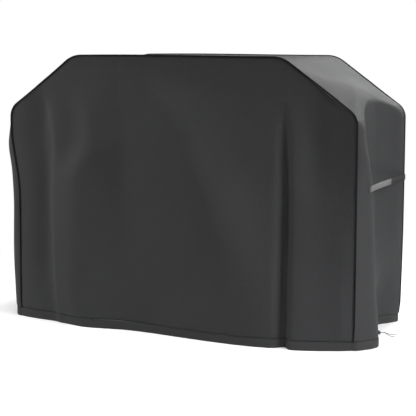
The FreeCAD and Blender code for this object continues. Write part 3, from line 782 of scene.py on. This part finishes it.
# Spans along a strap, measured from the tongue's sewn end.
ANCHOR_SPAN, TONGUE_SPAN, TAPE_SPAN = (-0.028, 0), (STRAP_GAP, 0.2873), (0.217, 0.283)
ANCHOR_BOX, TONGUE_BOX, BOX_WIDTH = (-0.025, -0.003), (0.2195, 0.2805), 0.019
RECEIVER_START, RECEIVER_END, RECEIVER_BEND = 0.205, 0.5285, 0.006
# Pitch and length of the stitches, and the thread's radius.
BOX_STITCH, EDGE_STITCH, THREAD_RADIUS = (0.0026, 0.0019), (0.0038, 0.0027), 0.0004
STRAP_SLANT = math.atan2(0.011, 0.520)
STRAP_START = Vector((0.847, -0.200, STRAP_LEVEL))


def strap_place(side, out, along, up=0.0):
    """Point in a strap's frame, whose along axis leans in toward the back."""
    x = STRAP_START.x + out * math.cos(STRAP_SLANT) - along * math.sin(STRAP_SLANT)
    y = STRAP_START.y + out * math.sin(STRAP_SLANT) + along * math.cos(STRAP_SLANT)
    return np.array([side * x, y, STRAP_LEVEL + up])


def strap_drop(along):
    """Height of the strap's middle against its level."""
    return float(eased(along, [(-0.03, -0.014), (0.0, -0.011), (0.07, -0.008), (0.155, -0.007),
                               (0.30, -0.008), (0.55, -0.011)]))


def band_section(width, thickness):
    """Flat strip with rounded edges, from its inner face outward."""
    half_width, nib = width / 2, min(thickness * 0.3, 0.0004)
    corners = [
        (-half_width, nib), (-half_width + nib, 0), (half_width - nib, 0), (half_width, nib),
        (half_width, thickness - nib), (half_width - nib, thickness),
        (-half_width + nib, thickness), (-half_width, thickness - nib),
    ]
    return corners


def strap_normal(side):
    """Outward direction of the strap's face."""
    return np.array([side * math.cos(STRAP_SLANT), math.sin(STRAP_SLANT), 0])


def strap_band(name, side, out, span, width, thickness):
    """Flat length of strap or tape, with its inner face at out."""
    start, end = span
    along = np.linspace(start, end, max(2, round((end - start) / 0.004)) + 1)
    path = [strap_place(side, out, a, strap_drop(a)) for a in along]
    return sweep(name, path, np.tile(strap_normal(side), (len(path), 1)), band_section(width, thickness))


def box_path(side, out, span):
    """Stitched rectangle with a cross, as one path."""
    (start, end), half_width = span, BOX_WIDTH / 2
    corners = [(start, -half_width), (end, -half_width), (end, half_width), (start, half_width),
               (start, -half_width), (end, half_width), (end, -half_width), (start, half_width)]
    points = []
    for (a0, w0), (a1, w1) in zip(corners, corners[1:]):
        for t in np.linspace(0, 1, 12, endpoint=False):
            a = a0 + (a1 - a0) * t
            points.append(strap_place(side, out, a, strap_drop(a) + w0 + (w1 - w0) * t))
    return np.array(points)


def strap_thread(name, side, path, stitch, material, body):
    """Row of stitches along a path on a strap."""
    normals = np.tile(strap_normal(side), (len(path), 1))
    finish_piece(stitches(name, path, normals, *stitch, THREAD_RADIUS), material, body)


for side, name in ((1, "right"), (-1, "left")):
    tongue_body = f"{name}_tongue"

    anchor = strap_band(f"{name}_anchor_tab", side, 0, ANCHOR_SPAN, STRAP_WIDTH, STRAP_GAUGE)
    # The anchor tab wears the darker copy of the light webbing, which paints the shade it lies in.
    finish_piece(anchor, "strap_painted_shade", "cover", [f"{name}_strap_anchor"])
    path = box_path(side, STRAP_GAUGE, ANCHOR_BOX)
    strap_thread(f"{name}_anchor_stitches", side, path, BOX_STITCH, "thread", "cover")

    tongue = strap_band(f"{name}_tongue_band", side, 0, TONGUE_SPAN, STRAP_WIDTH, STRAP_GAUGE)
    finish_piece(tongue, "strap_light", tongue_body, [f"{name}_strap_tongue"])
    path = box_path(side, STRAP_GAUGE, TONGUE_BOX)
    strap_thread(f"{name}_tongue_stitches", side, path, BOX_STITCH,
                 "strap_thread", tongue_body)

    hooks = strap_band(f"{name}_hooks", side, -PILE_GAUGE, TAPE_SPAN, TAPE_WIDTH, PILE_GAUGE)
    finish_piece(hooks, "hook_pile", tongue_body, [f"{name}_hook_tape"])
    loops = strap_band(f"{name}_loops", side, -STRAP_GAP - 2 * PILE_GAUGE, TAPE_SPAN, TAPE_WIDTH, PILE_GAUGE)
    finish_piece(loops, "loop_pile", "cover", [f"{name}_loop_tape"])

    # The receiver runs back under the tapes, round the back corner and a little way along the back.
    inner = -STRAP_GAP - 2 * PILE_GAUGE - STRAP_GAUGE
    bend_start = RECEIVER_END - RECEIVER_BEND
    route = [(inner, a) for a in np.linspace(RECEIVER_START, bend_start, 80)]
    route += [(inner - RECEIVER_BEND + RECEIVER_BEND * math.cos(t), bend_start + RECEIVER_BEND * math.sin(t))
              for t in np.linspace(0.15, math.pi / 2, 10)]
    route += [(inner - RECEIVER_BEND - d, RECEIVER_END) for d in np.linspace(0.003, 0.048, 14)]
    path = np.array([strap_place(side, o, a, strap_drop(a)) for o, a in route])
    turns = np.gradient(path, axis=0)
    out = np.stack([side * turns[:, 1], -side * turns[:, 0], 0 * turns[:, 0]], -1)
    receiver = sweep(f"{name}_receiver_band", path, out, band_section(STRAP_WIDTH, STRAP_GAUGE))
    finish_piece(receiver, "strap_dark", "cover", [f"{name}_strap_receiver"])
    for row, height in (("low", -0.0095), ("high", 0.0095)):
        path = np.array([strap_place(side, inner + STRAP_GAUGE, a, strap_drop(a) + height)
                         for a in np.linspace(0.292, bend_start, 60)])
        strap_thread(f"{name}_receiver_{row}_stitches", side, path, EDGE_STITCH,
                     "thread", "cover")

# ---------------------------------------------------------------- small hardware

for node, material in (
    ("eyelet", "eyelet_metal"), ("eyelet_washer", "eyelet_metal"), ("cord_lock_body", "lock_plastic"),
    ("cord_lock_plunger", "lock_plastic"), ("cord_lock_spring", "spring_steel"),
):
    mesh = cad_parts[node].data
    for i in range(len(mesh.materials)):
        mesh.materials[i] = MATERIALS[material]

# ---------------------------------------------------------------- floor and light

REACH = 9
# Distances over which the floor fades to white, and how much it is lifted for the camera alone.
FADE_START, FADE_END, FLOOR_LIFT = 1.0, 3.0, 0.22

corners = [(-REACH, -REACH, 0), (REACH, -REACH, 0), (REACH, REACH, 0), (-REACH, REACH, 0)]
floor = new_mesh("floor", corners, [(0, 1, 2, 3)])
material, nodes, links, shader = shader_nodes("floor_paint", Roughness=0.9, Specular_IOR_Level=0.1)
paint = ramped(nodes, links, blotches(nodes, links, (1.5, 1.5, 1.5)), (0.93, 0.93, 0.93), (0.95, 0.95, 0.95))
links.new(paint, shader.inputs["Base Color"])
# Far from the cover the floor turns into the white of the studio's walls.
glow = nodes.new("ShaderNodeEmission")
places = nodes.new("ShaderNodeTexCoord")
spread = nodes.new("ShaderNodeVectorMath")
spread.operation = "LENGTH"
links.new(places.outputs["Object"], spread.inputs[0])
fade = nodes.new("ShaderNodeMapRange")
fade.interpolation_type = "SMOOTHSTEP"
fade.inputs["From Min"].default_value = FADE_START
fade.inputs["From Max"].default_value = FADE_END
links.new(spread.outputs["Value"], fade.inputs["Value"])
under = nodes.new("ShaderNodeEmission")
shown = nodes.new("ShaderNodeLightPath")
lift = maths(nodes, links, "MULTIPLY", shown.outputs["Is Camera Ray"], FLOOR_LIFT)
links.new(lift, under.inputs["Strength"])
links.new(shown.outputs["Is Camera Ray"], glow.inputs["Strength"])
lit = nodes.new("ShaderNodeAddShader")
links.new(shader.outputs["BSDF"], lit.inputs[0])
links.new(under.outputs["Emission"], lit.inputs[1])
blend = nodes.new("ShaderNodeMixShader")
links.new(fade.outputs["Result"], blend.inputs[0])
links.new(lit.outputs["Shader"], blend.inputs[1])
links.new(glow.outputs["Emission"], blend.inputs[2])
links.new(blend.outputs["Shader"], nodes["Material Output"].inputs["Surface"])
floor.data.materials.append(material)

# Every lamp points at the middle of the cover.
AIM = Vector((0, 0, 0.6))


def lamp(name, azimuth, elevation, distance, size, power):
    """Square area light; azimuth 0 is in front of the cover and 90 on its right."""
    data = bpy.data.lights.new(name, "AREA")
    data.shape = "SQUARE"
    data.size = size
    data.energy = power
    a, e = math.radians(azimuth), math.radians(elevation)
    away = Vector((math.sin(a) * math.cos(e), -math.cos(a) * math.cos(e), math.sin(e)))
    light = bpy.data.objects.new(name, data)
    light.location = AIM + away * distance
    light.rotation_euler = (-away).to_track_quat("-Z", "Y").to_euler()
    bpy.context.scene.collection.objects.link(light)


lamp("key", 76, 20, 5.0, 1.8, 190)
lamp("front", 35, 25, 5.0, 2.0, 26)
lamp("left", -66, 12, 2.5, 0.8, 22)
lamp("rim", 168, 32, 4.5, 1.5, 122)
lamp("overhead", 20, 80, 4.0, 3.0, 108)

# The studio's walls are white; they light the cover less than they show.
world = bpy.data.worlds.new("studio")
world.use_nodes = True
nodes, links = world.node_tree.nodes, world.node_tree.links
ambient = nodes["Background"]
ambient.inputs["Color"].default_value = (1, 1, 1, 1)
ambient.inputs["Strength"].default_value = 0.13
white = nodes.new("ShaderNodeBackground")
white.inputs["Color"].default_value = (1, 1, 1, 1)
path = nodes.new("ShaderNodeLightPath")
mix = nodes.new("ShaderNodeMixShader")
links.new(path.outputs["Is Camera Ray"], mix.inputs[0])
links.new(ambient.outputs["Background"], mix.inputs[1])
links.new(white.outputs["Background"], mix.inputs[2])
links.new(mix.outputs["Shader"], nodes["World Output"].inputs["Surface"])
bpy.context.scene.world = world
bpy.context.scene.view_settings.view_transform = "Standard"
